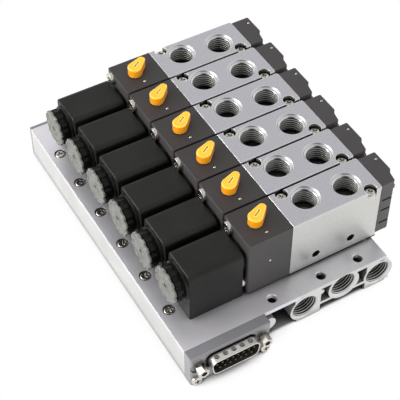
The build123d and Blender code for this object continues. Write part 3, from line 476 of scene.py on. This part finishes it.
def port_mouth(rim, axis, major, depth):
    """The rest of a port's 45 degree chamfer, from the major radius down to the thread's
    crests: a thin cone of radius major less along, backed by the bore's own wall."""
    along = np.array([0, depth - SKIN, depth, 0])
    radius = np.array([major - 2 * SKIN, major - depth - SKIN, major - SKIN, major - SKIN])
    return turned(rim, -axis, along, radius, PORT_COLUMNS, True)


def thread_sleeve(rim, axis, major, pitch, depth, span, start):
    """An internal thread as a thin closed sleeve, from the start on. Its inner radius is
    the major radius less the depth times a flattened triangle wave of (along / pitch -
    angle / turn), never deeper than the mouth's 45 degree chamfer and fading out over the
    last turn. The outer wall lies just inside the bore. The second result is the wave, from
    0 in a root to 1 on a crest, one number a vertex."""
    rows = int(span / pitch * ROWS_A_TURN) + 2
    along = np.linspace(start, span, rows)[:, None]
    turn = np.linspace(0, 1, PORT_COLUMNS, endpoint=False)[None, :]
    wave = 1 - np.abs(2 * ((along / pitch - turn) % 1.0) - 1)
    wave = np.clip(1.3 * wave - 0.15, 0, 1)
    fade = np.clip((span - along) / pitch, 0, 1)
    inner = major - 2 * SKIN - np.minimum((depth - 2 * SKIN) * wave * fade, along)
    outer = np.full((2, PORT_COLUMNS), major - SKIN)
    ends = np.broadcast_to(np.array([[span], [start]]), (2, PORT_COLUMNS))
    deep = np.concatenate((np.broadcast_to(along, (rows, PORT_COLUMNS)), ends))
    radius = np.concatenate((inner, outer))
    sleeve = turned(rim, -axis, deep, radius, PORT_COLUMNS, True)
    return sleeve, np.concatenate((wave.ravel(), np.ones(2 * PORT_COLUMNS)))


class ISLAND_OT_threads(bpy.types.Operator):
    """Cut the pipe threads of the work ports and the rail ports."""
    bl_idname = "island.threads"
    bl_label = "Threads"

    def execute(self, context):
        sizes = context.scene.island_sizes
        pitch, depth = sizes.pipe_pitch, sizes.pipe_depth
        # A work port's thread starts below a mouth of its own, and a rail port's at the rim.
        for kind, slot, start in (("work_port", "body_aluminium", depth),
                                  ("rail_port", "rail_aluminium", 0.0)):
            sleeves, crests, mouths = [], [], []
            for name, mount in MOUNTS.items():
                if not name.startswith(kind):
                    continue
                rim, axis = port_rim(mount), np.array(mount["axis"], float)
                major = mount["dims"]["r_mm"] * MM
                span = mount["dims"]["length_mm"] * MM
                sleeve, crest = thread_sleeve(rim, axis, major, pitch, depth, span, start)
                sleeves.append(sleeve)
                crests.append(crest)
                mouths.append(port_mouth(rim, axis, major, depth))
            cut = piece(kind + "_threads", joined(sleeves), FINISHES["thread"], 60)
            wave = cut.data.attributes.new(CREST, "FLOAT", "POINT")
            wave.data.foreach_set("value", np.concatenate(crests).astype(np.float32))
            if start:
                piece(kind + "_mouths", joined(mouths), FINISHES["mouth"], 60)
        return {"FINISHED"}


class ISLAND_OT_coil_nuts(bpy.types.Operator):
    """Mould the scalloped coil nuts and their zinc faces."""
    bl_idname = "island.coil_nuts"
    bl_label = "Coil nuts"

    def execute(self, context):
        sizes = context.scene.island_sizes
        low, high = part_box("coil_nuts")
        seat, front = high.x, low.x
        radius = (high.z - low.z) / 2
        centre_z = (high.z + low.z) / 2
        grips, faces = [], []
        for number in range(1, VALVES + 1):
            coil_low, coil_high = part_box(f"coil_{number}")
            centre = np.array((seat, (coil_low.y + coil_high.y) / 2, centre_z))
            grips.append(nut_grip(centre, seat - front, radius, sizes))
            faces.append(nut_disc(centre, seat - front, radius, sizes))
        grip = piece("coil_nut_grips", joined(grips), FINISHES["nut"], 40)
        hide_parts("coil_nuts")
        piece("coil_nut_discs", joined(faces), FINISHES["nut_face"], 40)
        return {"FINISHED"}


class ISLAND_OT_springs(bpy.types.Operator):
    """Split the springs into one piece a spring, each left free of the bodies."""
    bl_idname = "island.springs"
    bl_label = "Springs"

    def execute(self, context):
        wire = NODES["springs"].data
        points = np.empty(len(wire.vertices) * 3)
        wire.vertices.foreach_get("co", points)
        points = points.reshape(-1, 3)
        triangles = np.empty(len(wire.loops), int)
        wire.loops.foreach_get("vertex_index", triangles)
        triangles = triangles.reshape(-1, 3)
        middles = points[triangles].mean(1)
        left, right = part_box("springs")
        for number in range(1, VALVES + 1):
            low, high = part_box(f"coil_{number}")
            own = (middles[:, 1] > low.y) & (middles[:, 1] < high.y)
            # The spool's spring lies at +X and rests on the cap, the plunger's at -X on the core.
            for mover, side, fixed in (("spool", middles[:, 0] > 0, right.x),
                                       ("plunger", middles[:, 0] < 0, left.x)):
                used, renamed = np.unique(triangles[own & side], return_inverse=True)
                surface = points[used], renamed.reshape(-1, 3)
                coil = piece(f"{mover}_spring_{number}", surface, FINISHES["steel"],
                             60, body=None)
                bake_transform(coil)
                if number == 1 and mover == "spool":
                    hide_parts("springs")
        return {"FINISHED"}


def notched(radius, sizes, inset):
    """Radius round a nut: the full radius, or where a ray meets a round notch, the near
    crossing D cos a - sqrt(r^2 - D^2 sin^2 a), with the notch's centre at the distance D
    and a the angle from it. The inset comes off all round."""
    angle = np.linspace(0, 2 * np.pi, NUT_COLUMNS, endpoint=False)
    step = 2 * np.pi / sizes.nut_lobes
    off = (angle + step / 2) % step - step / 2
    centre = radius + sizes.nut_notch_r - sizes.nut_notch
    root = sizes.nut_notch_r ** 2 - (centre * np.sin(off)) ** 2
    near = centre * np.cos(off) - np.sqrt(np.maximum(root, 0))
    return np.where(root > 0, np.minimum(near, radius), radius) - inset


def nut_grip(centre, length_x, radius, sizes):
    """The black grip along -X: a neck, a shoulder and a barrel, as rows of (distance from
    the seat, radius, inset). Rows wider than the neck follow the notches."""
    body = length_x - sizes.nut_face
    grip = radius - GRIP_STEP
    rows = [(0, STUD_HOLE, 0), (0, NUT_NECK, 0), (0.8 * MM, NUT_NECK, 0),
            (0.8 * MM, grip, 0.5 * MM), (1.1 * MM, grip, 0.15 * MM), (1.5 * MM, grip, 0),
            (body - 0.75 * MM, grip, 0), (body - 0.55 * MM, grip, 0.2 * MM),
            (body - 0.5 * MM, grip, 0.7 * MM), (body, grip, 0.7 * MM), (body, STUD_HOLE, 0)]
    along = np.array([row[0] for row in rows])
    rim = np.stack([notched(row[1], sizes, row[2]) if row[1] > NUT_NECK
                    else np.full(NUT_COLUMNS, row[1]) for row in rows])
    return turned(centre, (-1, 0, 0), along, rim, NUT_COLUMNS, True)


def nut_disc(centre, length_x, radius, sizes):
    """The zinc face: a notched disc with a rolled rim, a shallow dish and a centre eye, as
    rows of (share of the thickness, millimetres in from the notched edge, or as a plain
    radius)."""
    start = length_x - sizes.nut_face
    edge_rows = [(0, 0.35), (0.15, 0.08), (0.3, 0), (0.7, 0), (0.88, 0.1), (1.0, 0.4),
                 (1.0, 1.1), (0.86, 1.35)]
    plain_rows = [(0.86, 2.9), (1.0, 2.6), (1.0, 1.5), (0.85, 1.15), (0.0, 1.1), (0.0, 3.0)]
    along = start + np.array([row[0] for row in edge_rows + plain_rows]) * sizes.nut_face
    rim = [notched(radius, sizes, row[1] * MM) for row in edge_rows]
    rim += [np.full(NUT_COLUMNS, row[1] * MM) for row in plain_rows]
    return turned(centre, (-1, 0, 0), along, np.stack(rim), NUT_COLUMNS, True)


# ---- stage ----
TARGET = Vector((-7.95, 1.5, 9.6)) * MM
AZIMUTH = -30.06
ELEVATION = 48.0
DISTANCE = 606.9 * MM
LENS = 107.75

FLOOR_HALF = 3.0
FLOOR_DROP = 0.02 * MM
# Each lamp's name, azimuth and elevation in degrees, distance and size in metres, watts,
# tint, and whether metal mirrors it.
LAMPS = (
    ("key_box", -75, 35, 1.1, 0.7, 9.0, "#fffdf8", False),
    ("left_box", -115, 28, 0.42, 0.25, 1.3, "#ffffff", True),
    ("top_box", 20, 80, 1.2, 0.9, 5.0, "#ffffff", False),
    ("front_box", 25, 25, 1.3, 0.8, 6.0, "#f8faff", False),
)
# The dark opening for the lens: half angles of its soft edge, and the light left inside it.
OPENING_FROM, OPENING_TO, OPENING_LIGHT = 32, 18, 0.03


def direction(azimuth, elevation):
    """The unit vector from the part towards a viewer or a lamp."""
    a, e = math.radians(azimuth), math.radians(elevation)
    return Vector((math.sin(a) * math.cos(e), -math.cos(a) * math.cos(e), math.sin(e)))


def area_lamp(name, azimuth, elevation, distance, size, power, tint, mirrored):
    """A square soft box that looks at the part, and that metal mirrors or not."""
    data = bpy.data.lights.new(name, "AREA")
    data.shape = "SQUARE"
    data.size = size
    data.energy = power
    data.color = linear(tint)
    lamp = bpy.data.objects.new(name, data)
    lamp.location = TARGET + direction(azimuth, elevation) * distance
    lamp.rotation_euler = (-direction(azimuth, elevation)).to_track_quat("-Z", "Y").to_euler()
    lamp.visible_glossy = mirrored
    bpy.context.scene.collection.objects.link(lamp)


def seen_directly(tree):
    """1 for the rays that show the background: camera, glossy and transmission rays."""
    ray = add_node(tree, "ShaderNodeLightPath")
    shown = ray.outputs["Is Camera Ray"]
    for kind in ("Is Glossy Ray", "Is Transmission Ray"):
        shown = add_node(tree, "ShaderNodeMath", {0: shown, 1: ray.outputs[kind]},
                         operation="MAXIMUM").outputs["Value"]
    return shown


def studio_world(scene):
    """A soft tent, brightest near the horizon, with a dark opening for the lens."""
    world = bpy.data.worlds.new("studio")
    scene.world = world
    world.use_nodes = True
    tree = world.node_tree
    tree.nodes.clear()
    towards = add_node(tree, "ShaderNodeTexCoord").outputs["Generated"]
    height = add_node(tree, "ShaderNodeSeparateXYZ", {"Vector": towards}).outputs["Z"]
    level = add_node(tree, "ShaderNodeMapRange", {
        "Value": height, "From Min": 0.25, "From Max": 0.75, "To Min": 1.0, "To Max": 0.7})
    lens = direction(AZIMUTH, ELEVATION)
    near_lens = add_node(tree, "ShaderNodeVectorMath", {0: towards, 1: tuple(lens)},
                         operation="DOT_PRODUCT").outputs["Value"]
    opening = add_node(tree, "ShaderNodeMapRange", {
        "Value": near_lens, "From Min": math.cos(math.radians(OPENING_FROM)),
        "From Max": math.cos(math.radians(OPENING_TO)), "To Min": 1.0,
        "To Max": OPENING_LIGHT})
    light = add_node(tree, "ShaderNodeMath", {
        0: level.outputs["Result"], 1: opening.outputs["Result"]}, operation="MULTIPLY")
    sky = add_node(tree, "ShaderNodeBackground", {
        "Color": (1, 1, 1, 1), "Strength": light.outputs["Value"]})
    add_node(tree, "ShaderNodeOutputWorld", {"Surface": sky.outputs["Background"]})


def painted_shade_under_part(tree):
    """Painted shade on the floor: near 0 below the deck, where no light comes, and 1 beside the
    part.
    """
    low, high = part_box("manifold_rail")
    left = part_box("junction_box")[0].x
    place = add_node(tree, "ShaderNodeTexCoord").outputs["Object"]
    sides = add_node(tree, "ShaderNodeSeparateXYZ", {"Vector": place})
    outside = 0.0
    for axis, start, end in (("X", left, high.x), ("Y", low.y, high.y)):
        off = add_node(tree, "ShaderNodeMath", {
            0: sides.outputs[axis], 1: (start + end) / 2}, operation="SUBTRACT")
        away = add_node(tree, "ShaderNodeMath", {0: off.outputs["Value"]}, operation="ABSOLUTE")
        half = (end - start) / 2
        beyond = add_node(tree, "ShaderNodeMapRange", {
            "Value": away.outputs["Value"], "From Min": half - 1.5 * MM, "From Max": half,
            "To Min": 0.17, "To Max": 1.0})
        outside = add_node(tree, "ShaderNodeMath", {
            0: outside, 1: beyond.outputs["Result"]}, operation="MAXIMUM").outputs["Value"]
    return outside


def paper_floor(colour_value):
    """Pale paper that reads as plain white in the open and keeps the real shadow close to the
    part, deepened by painted shade near and under it: white light for the rays that show
    it, faded where the part covers it."""
    made, tree = new_material("pale_paper")
    cover = add_node(tree, "ShaderNodeAmbientOcclusion", {"Distance": 22 * MM}, samples=12)
    open_share = add_node(tree, "ShaderNodeMapRange", {
        "Value": cover.outputs["AO"], "From Min": 0.28, "From Max": 0.5})
    share = add_node(tree, "ShaderNodeMath", {
        0: open_share.outputs["Result"], 1: seen_directly(tree)}, operation="MULTIPLY")
    # Painted shade: the paper's colour darkens where the part hides the open.
    tone = add_node(tree, "ShaderNodeMapRange", {
        "Value": cover.outputs["AO"], "From Min": 0.33, "From Max": 0.6,
        "To Min": 0.05, "To Max": 1.0})
    shade = painted_shade_under_part(tree)
    tone = add_node(tree, "ShaderNodeMath", {0: tone.outputs["Result"], 1: shade},
                    operation="MULTIPLY")
    share = add_node(tree, "ShaderNodeMath", {0: share.outputs["Value"], 1: shade},
                     operation="MULTIPLY")
    paper_colour = add_node(tree, "ShaderNodeMix", {
        "Factor": 1.0, BASE: [*colour_value, 1], OVER: tone.outputs["Value"]},
        data_type="RGBA", blend_type="MULTIPLY")
    paper = add_node(tree, "ShaderNodeBsdfDiffuse", {"Color": paper_colour.outputs[MIXED]})
    white = add_node(tree, "ShaderNodeEmission", {"Color": (1, 1, 1, 1), "Strength": 1.0})
    mixed = add_node(tree, "ShaderNodeMixShader", {
        0: share.outputs["Value"], 1: paper.outputs["BSDF"], 2: white.outputs["Emission"]})
    add_node(tree, "ShaderNodeOutputMaterial", {"Surface": mixed.outputs["Shader"]})
    return made


class ISLAND_OT_stage(bpy.types.Operator):
    """Set out the pale floor, the soft lamps and the camera."""
    bl_idname = "island.stage"
    bl_label = "Stage"

    def execute(self, context):
        scene = context.scene
        scene.view_settings.view_transform = "Standard"
        corners = [(x * FLOOR_HALF, y * FLOOR_HALF, -FLOOR_DROP)
                   for x, y in ((-1, -1), (1, -1), (1, 1), (-1, 1))]
        mesh = bpy.data.meshes.new("floor")
        mesh.from_pydata(corners, [], [(0, 1, 2, 3)])
        floor = bpy.data.objects.new("floor", mesh)
        mesh.materials.append(paper_floor(scene.island_colours.floor))
        scene.collection.objects.link(floor)
        studio_world(scene)
        for lamp in LAMPS:
            area_lamp(*lamp)
        data = bpy.data.cameras.new("camera")
        data.lens = LENS
        camera = bpy.data.objects.new("camera", data)
        camera.location = TARGET + direction(AZIMUTH, ELEVATION) * DISTANCE
        camera.rotation_euler = (-direction(AZIMUTH, ELEVATION)).to_track_quat("-Z", "Y").to_euler()
        scene.collection.objects.link(camera)
        scene.camera = camera
        return {"FINISHED"}


class ISLAND_PT_panel(bpy.types.Panel):
    """Lists the steps and settings of the island."""
    bl_label = "Valve island"
    bl_idname = "ISLAND_PT_panel"
    bl_space_type = "VIEW_3D"
    bl_region_type = "UI"
    bl_category = "Island"

    def draw(self, context):
        layout = self.layout
        for operator in OPERATORS:
            layout.operator(operator.bl_idname)
        for group in (context.scene.island_sizes, context.scene.island_colours):
            for key in group.__annotations__:
                layout.prop(group, key)


OPERATORS = (ISLAND_OT_finishes, ISLAND_OT_threads, ISLAND_OT_coil_nuts,
             ISLAND_OT_springs, ISLAND_OT_stage)
CLASSES = (IslandColours, IslandSizes, *OPERATORS, ISLAND_PT_panel)


def register():
    """Register the classes and the scene's settings."""
    for one in CLASSES:
        bpy.utils.register_class(one)
    bpy.types.Scene.island_colours = PointerProperty(type=IslandColours)
    bpy.types.Scene.island_sizes = PointerProperty(type=IslandSizes)


def unregister():
    """Remove the settings and the classes."""
    del bpy.types.Scene.island_sizes
    del bpy.types.Scene.island_colours
    for one in reversed(CLASSES):
        bpy.utils.unregister_class(one)


def main():
    """Build every piece in order."""
    register()
    bpy.ops.island.finishes()
    bpy.ops.island.threads()
    bpy.ops.island.coil_nuts()
    bpy.ops.island.springs()
    bpy.ops.island.stage()


if __name__ == "__main__":
    main()
